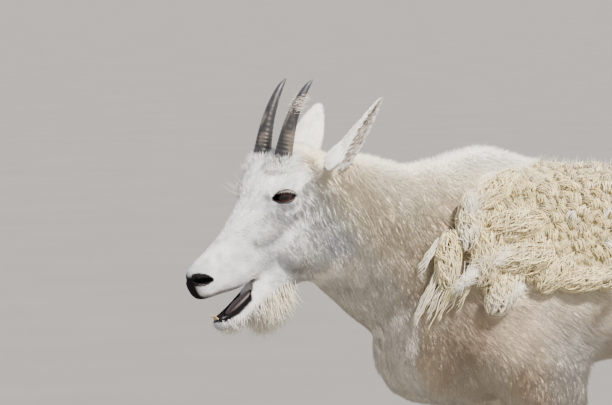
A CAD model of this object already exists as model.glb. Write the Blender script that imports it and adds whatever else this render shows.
"""Mountain goat, a young nanny in her summer moult: skin, coat, fleece, head details, light and camera.

Lengths are in millimetres in the animal's own frame (it faces -X, its left is -Y, the ground is Z = 0)
until a mesh is made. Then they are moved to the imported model's frame, in metres.
"""

import math

import bpy
import numpy as np
import openvdb
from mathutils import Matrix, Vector


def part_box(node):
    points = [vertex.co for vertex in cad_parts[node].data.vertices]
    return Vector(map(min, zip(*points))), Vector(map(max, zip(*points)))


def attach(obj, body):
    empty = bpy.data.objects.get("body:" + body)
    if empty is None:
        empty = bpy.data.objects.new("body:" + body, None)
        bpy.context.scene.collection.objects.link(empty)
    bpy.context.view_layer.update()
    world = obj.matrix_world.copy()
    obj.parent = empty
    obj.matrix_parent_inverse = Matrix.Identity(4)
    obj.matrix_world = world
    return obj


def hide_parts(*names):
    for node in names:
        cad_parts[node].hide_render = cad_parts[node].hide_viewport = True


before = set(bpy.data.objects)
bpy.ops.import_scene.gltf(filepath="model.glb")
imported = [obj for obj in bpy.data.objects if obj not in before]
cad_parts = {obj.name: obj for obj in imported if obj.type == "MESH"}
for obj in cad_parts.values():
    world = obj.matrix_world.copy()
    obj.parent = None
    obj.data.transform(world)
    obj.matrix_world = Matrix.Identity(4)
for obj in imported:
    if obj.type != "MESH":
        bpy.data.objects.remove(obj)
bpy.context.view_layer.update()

# Round the eyeball, a gap that keeps the lids off it
GAP = 0.3
# What a field says where it isn't worked out, the step of the rough grid, and places worked out at a time
FAR = 400.0
ROUGH_STEP = 16
BATCH = 200000
# How far the matted wool stands off the skin, and how far the rolls are sunk under their strands
FLEECE_DEPTH = 16
ROLL_SHRINK = 5
# Strands laid on the head and the body, fine hairs on the fleece, and its small clumps
HEAD_HAIRS, BODY_HAIRS, FUZZ_HAIRS = 62000, 138000, 16000
CURL_PITCH, CURL_CROWD = 13.8, 24000
# Turns in degrees, sizes in millimetres
HEAD_YAW, FACE_PITCH = 21, -36
NECK_YAW, NECK_PITCH = 8, 19.3
EYE_RADIUS = 15.5
EYE_LENGTH, EYE_HEIGHT = 38, 21
LID_THICKNESS = 3.0
HORN_BASE_RADIUS = 16.5
EAR_LENGTH, EAR_THICKNESS = 134, 3.0
FORELEG_STEP, HINDLEG_STEP = -34, 46

# The front left outer hoof has known corners, which give the shift between the two frames.
HOOF_CORNER = np.array([22.0, -126.0, 0.0])
SHIFT = np.array(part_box("hoof_front_left_outer")[0]) * 1000 - HOOF_CORNER
SHIFT[2] = 0


# Frames and sections


def frame_at(origin, yaw, pitch):
    y, p = math.radians(yaw), math.radians(pitch)
    forward = np.array([-math.cos(p) * math.cos(y), -math.cos(p) * math.sin(y), math.sin(p)])
    left = np.array([math.sin(y), -math.cos(y), 0.0])
    return np.array(origin, float), np.array([forward, left, np.cross(forward, left)])


def at(part_frame, s, l, n):
    origin, axes = part_frame
    place = np.stack(np.broadcast_arrays(s, l, n), -1).astype(float)
    return origin + place @ axes


def local(part_frame, points):
    origin, axes = part_frame
    return (points - origin) @ axes.T


EYES_MIDDLE = (-362, -69, 738)
BODY_FRAME = frame_at((0, 0, 0), 0, 0)
NECK = frame_at((0, 0, 600), NECK_YAW, NECK_PITCH)
HEAD = frame_at(EYES_MIDDLE, HEAD_YAW, FACE_PITCH)
LEVEL_HEAD = frame_at(EYES_MIDDLE, HEAD_YAW, 0)
DOWN = np.array([0.0, 0.0, -1.0])

# Place along the part, top, bottom, half width, height of the widest line, fullness above and below.
BODY = [
    [-745, 655, 600, 22, 630, 2, 2],
    [-735, 690, 572, 50, 632, 2, 2],
    [-705, 726, 545, 84, 632, 2, 2],
    [-660, 750, 524, 110, 628, 2, 2.1],
    [-600, 766, 510, 128, 618, 1.9, 2.2],
    [-520, 772, 486, 138, 600, 1.9, 2.2],
    [-420, 772, 466, 144, 590, 1.9, 2.2],
    [-300, 768, 458, 136, 575, 1.85, 2.2],
    [-215, 768, 456, 126, 565, 1.8, 2.2],
    [-155, 778, 440, 120, 560, 1.75, 2.2],
    [-90, 796, 415, 114, 555, 1.7, 2.2],
    [-16, 810, 392, 108, 540, 1.65, 2.2],
    [50, 794, 386, 102, 520, 1.65, 2.1],
    [100, 720, 392, 92, 500, 1.8, 2],
    [140, 620, 412, 74, 490, 2, 2],
    [165, 530, 450, 40, 488, 2, 2],
]
NECK_SECTIONS = [
    [0, 195, -200, 104, -10, 1.7, 2],
    [54, 203, -194, 100, -10, 1.65, 2],
    [99, 184, -172, 94, -8, 1.65, 2],
    [141, 159, -147, 87, -5, 1.7, 2],
    [185, 136, -132, 79, 0, 1.8, 2],
    [225, 133, -116, 72, 5, 1.9, 2],
    [262, 128, -102, 66, 8, 2, 2],
    [300, 112, -88, 60, 8, 2, 2],
    [335, 84, -66, 48, 8, 2, 2],
    [352, 50, -40, 28, 5, 2, 2],
]
HEAD_SECTIONS = [
    [-113, 4, -40, 26, -18, 2, 2],
    [-98, 30, -72, 46, -20, 2, 2],
    [-75, 44, -96, 56, -18, 2.1, 2],
    [-45, 51, -112, 60, -12, 2.3, 2],
    [-12, 49, -122, 62, -6, 2.5, 2],
    [15, 39, -122, 56, -14, 2.3, 2],
    [45, 23, -112, 46, -28, 2.1, 2.2],
    [75, 11, -100, 38, -40, 2.1, 2.3],
    [105, 2, -92, 33, -50, 2.2, 2.4],
    [135, -3, -86, 31, -54, 2.3, 2.5],
    [162, -5, -74, 29, -48, 2.3, 2.5],
    [182, -10, -66, 26, -42, 2.3, 2.4],
    [194, -22, -60, 19, -42, 2.2, 2.2],
    [199, -36, -54, 9, -45, 2, 2],
]
JAW_SECTIONS = [
    [-30, -60, -118, 36, -90, 2, 2],
    [-5, -60, -146, 42, -105, 2, 2],
    [25, -66, -152, 41, -112, 2, 2],
    [60, -76, -146, 36, -114, 2, 2],
    [95, -90, -141, 33, -116, 2.2, 2],
    [125, -98, -138, 30, -118, 2.4, 2],
    [155, -100, -136, 26, -119, 2.5, 2],
    [178, -100, -131, 22, -117, 2.4, 2],
    [190, -103, -125, 16, -114, 2.2, 2],
    [197, -108, -118, 7, -113, 2, 2],
]
TAIL_SECTIONS = [
    [0, 17, -17, 20, 0, 2, 2],
    [40, 14, -14, 18, 0, 2, 2],
    [75, 10, -10, 13, 0, 2, 2],
    [92, 3, -3, 4, 0, 2, 2],
]
# Height, front edge, back edge, half width, distance of the centre from the midline.
FORELEG = [
    [560, -60, 140, 30, 84],
    [500, -52, 158, 38, 90],
    [450, -26, 166, 42, 94],
    [410, 8, 166, 40, 96],
    [370, 34, 158, 36, 96],
    [325, 50, 142, 31, 96],
    [285, 58, 128, 27, 96],
    [258, 61, 124, 27, 96],
    [235, 60, 122, 28, 96],
    [205, 66, 118, 25, 96],
    [165, 71, 113, 21, 96],
    [125, 72, 112, 20, 96],
    [98, 68, 115, 23, 96],
    [76, 61, 117, 26, 97],
    [56, 50, 112, 26, 98],
    [40, 40, 106, 28, 98],
]
HINDLEG = [
    [600, 560, 726, 44, 90],
    [550, 548, 736, 50, 98],
    [500, 552, 736, 50, 102],
    [450, 566, 728, 44, 103],
    [400, 590, 722, 37, 103],
    [355, 618, 724, 30, 103],
    [315, 646, 731, 26, 103],
    [285, 664, 741, 25, 103],
    [262, 670, 744, 26, 103],
    [238, 674, 740, 25, 103],
    [205, 679, 730, 22, 103],
    [165, 680, 725, 20, 103],
    [125, 678, 722, 20, 103],
    [98, 672, 723, 23, 103],
    [76, 664, 724, 26, 104],
    [56, 652, 716, 26, 105],
    [40, 641, 709, 28, 105],
]
FLEECE_FRONT = [[540, 6], [600, -22], [676, -38], [722, -10], [746, 9], [765, 38], [785, 95], [815, 150]]
FLEECE_HEM = [[-60, 640], [0, 578], [60, 596], [140, 600], [300, 592], [440, 580], [760, 576]]


def smooth_table(rows, per_step=12):
    """Rows as dense samples of a smooth line that never overshoots them."""
    rows = np.array(rows, float)
    rows = rows[np.argsort(rows[:, 0])]
    s, v = rows[:, 0], rows[:, 1:]
    step = np.diff(s)[:, None]
    slope = np.diff(v, axis=0) / step
    tangent = np.empty_like(v)
    tangent[0], tangent[-1] = slope[0], slope[-1]
    a, b = slope[:-1], slope[1:]
    total = np.where(a + b == 0, 1, a + b)
    tangent[1:-1] = np.where(a * b > 0, 2 * a * b / total, 0)
    t = (np.arange(per_step) / per_step)[None, :, None]
    h = step[:, None, :]
    values = (
        (2 * t**3 - 3 * t**2 + 1) * v[:-1, None]
        + (t**3 - 2 * t**2 + t) * h * tangent[:-1, None]
        + (3 * t**2 - 2 * t**3) * v[1:, None]
        + (t**3 - t**2) * h * tangent[1:, None]
    )
    places = s[:-1, None] + t[0, :, 0] * step
    values = np.vstack([values.reshape(-1, v.shape[1]), v[-1:]])
    return np.append(places.ravel(), s[-1]), values


def read(table, s):
    places, values = table
    return [np.interp(s, places, values[:, k]) for k in range(values.shape[1])]


def smoothstep(x, low, high):
    t = np.clip((x - low) / (high - low), 0, 1)
    return t * t * (3 - 2 * t)


def unit(v):
    return v / np.maximum(np.linalg.norm(v, axis=-1, keepdims=True), 1e-9)


# Fields: distance to a surface in millimetres, negative inside


def near(points, low, high, pad, field):
    """The field where the points are near a box, and a large distance elsewhere."""
    out = np.full(len(points), FAR)
    inside = np.all((points > np.array(low) - pad) & (points < np.array(high) + pad), axis=1)
    if inside.any():
        out[inside] = field(points[inside])
    return out


def loft(part_frame, rows):
    table = smooth_table(rows)
    s = table[0][[0, -1]]
    reach = np.abs(np.array(rows)[:, 1:4]).max()
    ends = np.array([at(part_frame, a, l, n) for a in s for l in (-reach, reach) for n in (-reach, reach)])
    low, high = ends.min(0), ends.max(0)

    def field(points):
        q = local(part_frame, points)
        along = np.clip(q[:, 0], table[0][0], table[0][-1])
        top, bottom, half, widest, above, below = read(table, along)
        rise = q[:, 2] - widest
        reach = np.where(rise > 0, top - widest, widest - bottom)
        fullness = np.where(rise > 0, above, below)
        share = (np.abs(q[:, 1] / half) ** fullness + np.abs(rise / reach) ** fullness) ** (1 / fullness)
        inside = np.hypot(q[:, 1], rise) * (1 - 1 / np.maximum(share, 1e-3))
        beyond = q[:, 0] - along
        outer = np.hypot(np.maximum(inside, 0), beyond)
        return np.where(beyond == 0, inside, outer)

    return lambda points: near(points, low, high, 60, field)


def ellipsoid(part_frame, centre, radii):
    axes = part_frame[1]
    middle = at(part_frame, *centre)
    radii = np.array(radii, float)
    reach = radii.max()

    def field(points):
        q = local((middle, axes), points)
        share = np.linalg.norm(q / radii, axis=1)
        steep = np.linalg.norm(q / radii**2, axis=1)
        return share * (share - 1) / np.maximum(steep, 1e-6)

    return lambda points: near(points, middle - reach, middle + reach, 60, field)


def both_sides(part_frame, centre, radii):
    s, l, n = centre
    return [ellipsoid(part_frame, (s, side * l, n), radii) for side in (1, -1)]


def leg_field(rows, side, step):
    table = smooth_table(rows)
    x_low, x_high = min(r[1] for r in rows) + step, max(r[2] for r in rows) + step
    y = sorted((-side * 20, -side * 170))

    def field(points):
        z = np.clip(points[:, 2], table[0][0], table[0][-1])
        front, back, half, out = read(table, z)
        dx = points[:, 0] - step - (front + back) / 2
        dy = -side * points[:, 1] - out
        share = np.hypot(2 * dx / (back - front), dy / half)
        inside = np.hypot(dx, dy) * (1 - 1 / np.maximum(share, 1e-3))
        return np.hypot(np.maximum(inside, 0), points[:, 2] - z) + np.minimum(inside, 0)

    return lambda points: near(points, (x_low, y[0], 30), (x_high, y[1], 600), 60, field)


def join(softness, distances):
    total = distances[0]
    for other in distances[1:]:
        close = np.maximum(softness - np.abs(total - other), 0) / softness
        total = np.minimum(total, other) - close * close * softness / 4
    return total


def blend(softness, *fields):
    return lambda points: join(softness, [field(points) for field in fields])


def value_noise(points, size, seed=0):
    """Smooth noise from -1 to 1, with lumps of about that size."""
    q = points / size + seed * 17.3
    base = np.floor(q).astype(np.int64)
    f = q - base
    f = f * f * (3 - 2 * f)
    total = 0
    for corner in range(8):
        offset = np.array([corner & 1, corner >> 1 & 1, corner >> 2 & 1])
        cell = base + offset
        key = cell[:, 0] * 73856093 ^ cell[:, 1] * 19349663 ^ cell[:, 2] * 83492791
        key = (key ^ (key >> 13)) * 1274126177 & 0x7FFFFFFF
        weight = np.prod(np.where(offset, f, 1 - f), axis=1)
        total = total + weight * ((key >> 7 & 0xFFFF) / 32767.5 - 1)
    return total


FRONT_TABLE, HEM_TABLE = smooth_table(FLEECE_FRONT), smooth_table(FLEECE_HEM)


def back_thickness(points):
    """How thick the fleece is, from its thin front edge on the back to full."""
    on_top = smoothstep(points[:, 2], 735, 785)
    return 1 - on_top * (1 - smoothstep(points[:, 0], 105, 215))


def fleece_share(points, soft=22):
    """1 where the old winter fleece still is, 0 where it has been shed."""
    behind = points[:, 0] - read(FRONT_TABLE, points[:, 2])[0]
    above = points[:, 2] - read(HEM_TABLE, points[:, 0])[0]
    return smoothstep(np.minimum(behind, above), -6, soft)


body_shape = blend(
    34,
    loft(BODY_FRAME, BODY),
    *both_sides(BODY_FRAME, (-30, 66, 630), (92, 46, 150)),
    *both_sides(BODY_FRAME, (94, 62, 486), (62, 44, 70)),
    *both_sides(BODY_FRAME, (-84, 78, 505), (92, 44, 86)),
    *both_sides(BODY_FRAME, (-640, 72, 600), (104, 56, 118)),
)
neck_field = loft(NECK, NECK_SECTIONS)
skull_field = blend(
    17,
    loft(HEAD, HEAD_SECTIONS),
    *both_sides(HEAD, (-6, 46, 12), (27, 19, 17)),
    *both_sides(HEAD, (30, 37, -30), (46, 14, 18)),
    *both_sides(HEAD, (4, 38, -92), (50, 23, 46)),
    *both_sides(HEAD, (-88, 38, -8), (24, 22, 28)),
    *both_sides(HEAD, (-45, 29, 31), (27, 22, 21)),
)
jaw_field = loft(HEAD, JAW_SECTIONS)
head_field = blend(14, skull_field, loft(HEAD, JAW_SECTIONS[:5]))
TAIL = frame_at((722, 0, 706), 180, -62)
tail_field = loft(TAIL, TAIL_SECTIONS)
LEGS = [
    leg_field(rows, side, step if side < 0 else 0)
    for rows, step in ((FORELEG, FORELEG_STEP), (HINDLEG, HINDLEG_STEP))
    for side in (1, -1)
]


def trunk_field(points):
    return join(30, [body_shape(points), neck_field(points), head_field(points)])


def legs_field(points):
    return join(24, [leg(points) for leg in LEGS])


def flesh_field(points):
    """The whole animal at the tips of its short coat, without the fleece."""
    joined = join(30, [trunk_field(points), legs_field(points)])
    return np.minimum(join(14, [joined, tail_field(points)]), jaw_field(points))


def head_share(points):
    q = local(HEAD, points)
    return smoothstep(q[:, 0], -95, -35) * (np.abs(q[:, 1]) < 110)


def coat_depth(points):
    """How far the skin lies under the tips of the coat."""
    q = local(HEAD, points)
    face = np.interp(q[:, 0], [-60, 20, 110, 190], [6.5, 4.5, 2.6, 1.2])
    body = np.interp(points[:, 2], [150, 420, 560, 740, 780], [4, 8, 9, 9, 12])
    share = head_share(points)
    return face * share + body * (1 - share)


# Eyes: the ball's centre, and its level, upright and outward directions


def make_eye(side):
    forward, left, up = HEAD[1]
    outward = unit(forward * 0.42 + left * side * 0.88 + up * 0.2)
    level_way = LEVEL_HEAD[1][0]
    across = unit(-level_way + outward * (level_way @ outward))
    level = unit(across + np.cross(outward, across) * side * 0.1)
    upright = np.cross(outward, level) * side
    centre = at(HEAD, -5, side * 45.5, -4)
    return {"side": side, "centre": centre, "axes": np.array([level, upright, outward])}


EYES = [make_eye(side) for side in (1, -1)]


def almond(x):
    """Upper and lower edge of the opening between the lids, along its length."""
    t = np.clip(x / (EYE_LENGTH / 2), -1, 1)
    upper = EYE_HEIGHT * 0.5 * (1 - np.abs(t) ** 2.1) ** 0.8 + 0.6 * t
    lower = -EYE_HEIGHT * 0.46 * (1 - np.abs(t) ** 2.0) ** 0.9 - 1.5 * (1 - t) * np.abs(t)
    return upper + 2, np.minimum(lower, upper - 0.2) + 2


def cut_eyes(points, distance):
    for eye in EYES:
        q = local((eye["centre"], eye["axes"]), points)
        r = np.linalg.norm(q, axis=1)
        close = r < 60
        p = q[close]
        lid = r[close] - (EYE_RADIUS + LID_THICKNESS)
        upper, lower = almond(p[:, 0])
        opening = np.maximum(np.maximum(p[:, 1] - upper, lower - p[:, 1]), 3 - p[:, 2])
        opening = np.maximum(opening, np.abs(p[:, 0]) - EYE_LENGTH / 2)
        ball = r[close] - (EYE_RADIUS + GAP)
        d = join(7, [distance[close], lid])
        d = np.maximum(d, -ball)
        distance[close] = np.maximum(d, -opening)
    return distance


# Place in the head's frame and turn of each nostril
NOSTRILS = [(180, 19, -31, -0.5), (180, -19, -31, 0.5)]


def cut_nostrils(points, distance):
    for s, l, n, turn in NOSTRILS:
        q = local(HEAD, points) - np.array([s, l, n])
        x = q[:, 0] * math.cos(turn) + q[:, 1] * math.sin(turn)
        y = -q[:, 0] * math.sin(turn) + q[:, 1] * math.cos(turn)
        share = np.sqrt((x / 14) ** 2 + (y / 7.5) ** 2 + ((q[:, 2] - 0.5 * x) / 5.4) ** 2)
        distance = np.maximum(distance, -(share - 1) * 5)
    return distance


def cut_mouth(points, distance):
    roof = ellipsoid(HEAD, (152, 0, -86), (42, 16, 13))(points)
    floor = ellipsoid(HEAD, (150, 0, -97), (45, 22, 18))(points)
    return np.maximum(np.maximum(distance, -roof), -floor)


# Matted rolls of shed wool: place, height, slope in degrees, length, thickness, whiteness
ROLLS = [
    [10, 742, 40, 92, 40, 0.1],
    [-34, 694, 82, 96, 44, 0.7],
    [-8, 640, 70, 104, 50, 0.2],
    [34, 688, 10, 96, 52, 0.0],
    [48, 636, 6, 104, 54, 0.2],
    [14, 582, 62, 82, 46, 0.5],
    [-72, 634, 84, 92, 40, 0.2],
    [104, 612, 44, 84, 40, 0.1],
    [150, 600, 8, 84, 38, 0.1],
    [208, 606, 14, 86, 40, 0.1],
]


def on_flank(x, z, side):
    """Points on one flank, found from the side at a place and height, with their normals."""
    x, z = np.atleast_1d(x).astype(float), np.atleast_1d(z).astype(float)
    y = np.arange(230, 20, -1.5)
    line = np.zeros((len(x), len(y), 3))
    line[..., 0], line[..., 1], line[..., 2] = x[:, None], -side * y, z[:, None]
    inside = flesh_field(line.reshape(-1, 3)).reshape(len(x), -1) < 0
    first = inside.argmax(1)
    point = line[np.arange(len(x)), first]
    return point, normal_at(flesh_field, point), inside.any(1)


def normal_at(field, points, step=2.0):
    slope = [field(points + axis) - field(points - axis) for axis in np.eye(3) * step]
    return unit(np.stack(slope, -1))


def make_rolls():
    found = []
    draws = np.random.default_rng(5)
    for side in (1, -1):
        for x, z, slope, length, thick, white in ROLLS:
            move, turn = (0, 0) if side > 0 else draws.uniform(-14, 14, 2)
            point, normal, _ = on_flank(x + move, z, side)
            angle = math.radians(slope + turn)
            lie = np.array([-math.cos(angle), 0, -math.sin(angle)])
            across = unit(np.cross(normal[0], lie))
            along = np.cross(across, normal[0])
            axes = np.array([along, across, normal[0]])
            centre = point[0] + normal[0] * thick * 0.14
            radii = np.array([length, thick, thick * 0.92]) / 2
            found.append({"centre": centre, "axes": axes, "radii": radii, "white": white, "side": side})
    return found


rolls = make_rolls()


def rolls_field(points, shrink=0.0):
    total = np.full(len(points), FAR)
    for roll in rolls:
        low, high = roll["centre"] - 70, roll["centre"] + 70
        one = ellipsoid((roll["centre"], roll["axes"]), (0, 0, 0), roll["radii"] - shrink)
        total = np.minimum(total, near(points, low, high, 0, one))
    return total


def skin_field(points):
    """The surface that is meshed: the skin, and the matted wool under the curls."""
    distance = flesh_field(points) + coat_depth(points)
    share = fleece_share(points, 14)
    woolly = share > 0.01
    if woolly.any():
        p = points[woolly]
        lumps = value_noise(p, 19, 3) * 3.2 + value_noise(p, 9, 4) * 1.3
        raised = share[woolly] * (FLEECE_DEPTH + lumps) * (0.1 + 0.9 * back_thickness(p))
        rolled = rolls_field(p, ROLL_SHRINK) + value_noise(p, 7, 6) * 1.5
        distance[woolly] = np.minimum(distance[woolly] - raised, rolled)
    return cut_mouth(points, cut_nostrils(points, cut_eyes(points, distance)))


# Skin mesh

FINE, COARSE = 2.04, 4.88


def steps(*stops):
    parts = [np.arange(a, b, step) for (a, step), (b, _) in zip(stops, stops[1:])]
    return np.append(np.concatenate(parts), stops[-1][0])


def mesh_field(field, axes, band=34):
    """Quads of a field's zero surface, on a grid whose steps may differ from place to place."""
    rough = [np.arange(a[0], a[-1] + ROUGH_STEP, ROUGH_STEP) for a in axes]
    lattice = np.stack(np.meshgrid(*rough, indexing="ij"), -1).reshape(-1, 3)
    coarse = field(lattice).reshape([len(r) for r in rough])
    places = [np.rint((a - a[0]) / ROUGH_STEP).astype(int) for a in axes]
    values = coarse[np.ix_(*places)].astype(np.float32)
    chosen = np.argwhere(np.abs(values) < band)
    points = np.stack([a[chosen[:, k]] for k, a in enumerate(axes)], -1)
    batches = np.array_split(points, len(points) // BATCH + 1)
    values[tuple(chosen.T)] = np.concatenate([field(batch) for batch in batches])
    grid = openvdb.FloatGrid(FAR)
    grid.copyFromArray(values)
    verts, quads = grid.convertToQuads(0.0)
    mapped = [np.interp(verts[:, k], np.arange(len(a)), a) for k, a in enumerate(axes)]
    return np.stack(mapped, -1), quads.astype(np.int64)


# Unwrap: trunk and legs are islands, each laid out by its own length and angle

AXIS = [
    (*at(HEAD, 197, 0, -46), HEAD_YAW, FACE_PITCH),
    (*at(HEAD, 140, 0, -50), HEAD_YAW, FACE_PITCH),
    (*at(HEAD, 60, 0, -56), HEAD_YAW, FACE_PITCH),
    (*at(HEAD, 0, 0, -62), HEAD_YAW, FACE_PITCH),
    (*at(NECK, 262, 0, 6), 14, -13),
    (*at(NECK, 120, 0, 10), 4, -20),
    (-20, 0, 606, 0, -5),
    (300, 0, 615, 0, 0),
    (740, 0, 632, 0, 0),
]


def unwrap(points):
    axis = np.array(AXIS)
    lengths = np.linalg.norm(np.diff(axis[:, :3], axis=0), axis=1)
    starts = np.append(0, np.cumsum(lengths))
    best = np.full(len(points), 1e9)
    uv = np.zeros((len(points), 2))
    for i, length in enumerate(lengths):
        a, b = axis[i, :3], axis[i + 1, :3]
        t = np.clip((points - a) @ (b - a) / length**2, 0, 1)
        centre = a + t[:, None] * (b - a)
        gap = np.linalg.norm(points - centre, axis=1)
        left, up = frame_at((0, 0, 0), axis[i, 3], axis[i, 4])[1][1:]
        angle = np.arctan2((points - centre) @ left, (points - centre) @ up)
        close = gap < best
        best[close] = gap[close]
        uv[close, 0] = 0.02 + 0.72 * (starts[i] + t[close] * length) / starts[-1]
        uv[close, 1] = 0.02 + 0.96 * (angle[close] / (2 * math.pi) + 0.5)
    low = points[:, 2] < 425
    for k, (sign_y, x_middle) in enumerate([(-1, 90), (1, 56), (-1, 700), (1, 745)]):
        here = low & (points[:, 1] * sign_y > 0) & (np.abs(points[:, 0] - x_middle) < 190)
        x = points[here, 0] - x_middle
        y = np.abs(points[here, 1]) - 98
        uv[here, 0] = 0.765 + 0.058 * k + 0.05 * (np.arctan2(y, x) / (2 * math.pi) + 0.5)
        uv[here, 1] = 0.02 + 0.96 * points[here, 2] / 430
    return uv


# Colours, as sRGB bytes turned to linear


def rgb(red, green, blue):
    c = np.array([red, green, blue]) / 255
    return np.where(c < 0.04045, c / 12.92, ((c + 0.055) / 1.055) ** 2.4)


WHITE = rgb(238, 236, 232)
COOL = rgb(198, 199, 204)
CREAM = rgb(246, 233, 204)
STRAW = rgb(240, 221, 164)
DEEP_STRAW = rgb(212, 182, 112)
TAN = rgb(250, 232, 204)
TAUPE = rgb(214, 188, 158)
YELLOW = rgb(222, 198, 140)
NOSE = rgb(24, 21, 22)
MOUTH = rgb(13, 10, 10)
LIP = rgb(84, 72, 66)


def mix(a, b, share):
    """Colours a share of the way from a to b, each one colour or one for each place."""
    return a + (b - a) * np.asarray(share)[:, None]


def spot(points, centre, radius):
    return np.clip(1 - np.linalg.norm((points - centre) / np.array(radius), axis=1), 0, 1) ** 0.8


# Shades of the coat on the head: place, radii, colour and strength. Each is on both sides.
HEAD_MARKS = [
    ((-82, 36, 13), (30, 24, 24), YELLOW, 1.0),
    ((57, 40, -47), (34, 20, 24), rgb(172, 176, 184), 0.75),
    ((-80, 52, -42), (34, 34, 28), rgb(176, 170, 162), 0.85),
    ((32, 42, -109), (26, 24, 18), rgb(168, 150, 128), 0.8),
    ((16, 50, -18), (22, 14, 9), rgb(150, 146, 146), 0.7),
    ((24, 30, 22), (34, 18, 18), rgb(206, 208, 214), 0.6),
    ((38, 36, -10), (22, 16, 9), rgb(152, 148, 150), 0.5),
    ((112, 27, -34), (40, 18, 14), rgb(196, 194, 196), 0.55),
    ((150, 24, -62), (30, 18, 9), rgb(206, 200, 196), 0.5),
]
# Shades on the body, seen from the side: two ends, radius, colour and strength
BODY_MARKS = [
    ((-232, 766), (-165, 690), 26, rgb(222, 200, 164), 0.42),
    ((-270, 590), (-150, 494), 40, rgb(214, 192, 166), 0.5),
    ((-90, 560), (-40, 500), 56, rgb(160, 132, 102), 0.7),
    ((20, 520), (60, 420), 52, rgb(196, 170, 140), 0.5),
    ((120, 520), (160, 500), 40, rgb(170, 146, 118), 0.7),
    ((145, 470), (150, 380), 60, WHITE, 0.65),
    ((-20, 440), (60, 330), 40, rgb(226, 214, 194), 0.8),
    ((-60, 700), (-110, 640), 44, rgb(238, 212, 178), 0.6),
    ((-190, 640), (-130, 560), 60, rgb(238, 220, 192), 0.5),
]


def near_line(points, start, end):
    """Distance in side view from a line between two places."""
    a, b = np.array(start, float), np.array(end, float)
    p = points[:, [0, 2]]
    t = np.clip((p - a) @ (b - a) / ((b - a) @ (b - a)), 0, 1)
    return np.linalg.norm(p - a - t[:, None] * (b - a), axis=1)


def markings(points):
    """The coat's colour at places on the animal."""
    q = local(HEAD, points)
    k = local(NECK, points)
    s, l, up = q.T
    patch = value_noise(points, 46, 1)
    fine = value_noise(points, 11, 2)
    height = (k[:, 2] - 20) / 130
    low = smoothstep(590 - points[:, 2] + 26 * patch, -60, 60)
    under = np.where(k[:, 0] > 20, smoothstep(-height + 0.2 * patch, -0.2, 0.85), low)
    coat = mix(CREAM, TAN, under)
    dark = smoothstep(540 - points[:, 2] + 40 * patch, -10, 80) * smoothstep(points[:, 0], -150, -20)
    coat = mix(coat, TAUPE, dark * smoothstep(320 - points[:, 0], -60, 120) * 0.75)
    coat = mix(coat, CREAM, smoothstep(fine + patch, 0.35, 1.2) * 0.5)
    coat = mix(coat, CREAM, smoothstep(420 - points[:, 2], 0, 90))
    rear = smoothstep(points[:, 0], 330, 520)
    coat = mix(coat, mix(CREAM, STRAW, [0.35]), rear)
    crest = smoothstep(points[:, 2], 745, 800) * smoothstep(points[:, 0], -260, -120)
    coat = mix(coat, WHITE, crest * 0.8)
    for start, end, radius, colour, strength in BODY_MARKS:
        reach = radius * (1 + 0.3 * fine + 0.2 * patch)
        share = smoothstep(reach - near_line(points, start, end), -0.6 * radius, 0.8 * radius)
        coat = mix(coat, colour, share * strength)
    head = head_share(points)
    face = mix(WHITE, COOL, smoothstep(fine + patch, -0.4, 1.0))
    colour = mix(coat, face, head)
    mirrored = np.column_stack([s, np.abs(l), up])
    for centre, radii, shade, strength in HEAD_MARKS:
        colour = mix(colour, shade, spot(mirrored, centre, radii) * strength * head)
    throat = smoothstep(-up, 124, 150) * smoothstep(40 - s, -10, 40) * head
    colour = mix(colour, TAN, throat * 0.5)
    return dark_lids(points, dark_skin(q, colour))


def eye_gap(eye, points):
    """How far places are outside the opening of an eye, seen from in front of it, and which are near it."""
    e = local((eye["centre"], eye["axes"]), points)
    upper, lower = almond(e[:, 0])
    gap = np.maximum(e[:, 1] - upper, lower - e[:, 1])
    gap = np.maximum(gap, np.abs(e[:, 0]) - EYE_LENGTH / 2)
    return gap, (e[:, 2] > 0) & (np.linalg.norm(e, axis=1) < 30)


def dark_lids(points, colour):
    """Dark bare skin round the opening of each eye."""
    for eye in EYES:
        gap, close = eye_gap(eye, points)
        colour = mix(colour, rgb(44, 38, 42), smoothstep(3.2 - gap, 0, 1.8) * close)
    return colour


def nose_share(q):
    """Bare black skin: the pad between the nostrils and a drop-shaped area round each."""
    s, l, up = q.T
    pad = smoothstep(s, 175, 183) * smoothstep(14.5 - np.abs(l), -3, 3) * smoothstep(-up, 14, 19)
    pad = pad * smoothstep(up, -74, -62)
    along = -0.81 * (s - 180) - 0.588 * (up + 29)
    below = 0.588 * (s - 180) - 0.809 * (up + 29)
    tall = 10.5 * (1 - 0.4 * along / 17)
    drop = 1 - np.hypot(along / 17, below / np.maximum(tall, 3))
    drop = smoothstep(drop, -0.06, 0.06) * smoothstep(np.abs(l), 5, 9)
    return np.clip(np.maximum(pad, drop), 0, 1)


def mouth_share(q):
    """The dark inside of the mouth."""
    s, up = q[:, 0], q[:, 2]
    lower = np.interp(s, [112, 130, 160, 184, 197], [-95, -110, -114, -111, -105])
    upper = np.interp(s, [112, 135, 162, 182, 199], [-91, -84, -72, -64, -56])
    inside = smoothstep(upper - up, -1, 1) * smoothstep(up - lower, -1.5, 1.5)
    return inside * smoothstep(s, 105, 112)


def dark_skin(q, colour):
    """Adds the dark edges of the lips, the nose and the inside of the mouth."""
    s, up = q[:, 0], q[:, 2]
    edge = np.abs(up - np.interp(s, [112, 135, 162, 182, 199], [-88, -80, -67, -59, -52]))
    lips = smoothstep(s, 120, 135) * smoothstep(6 - edge, 0, 5)
    colour = mix(colour, LIP, lips * 0.6)
    colour = mix(colour, NOSE, nose_share(q))
    return mix(colour, MOUTH, mouth_share(q))


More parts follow.
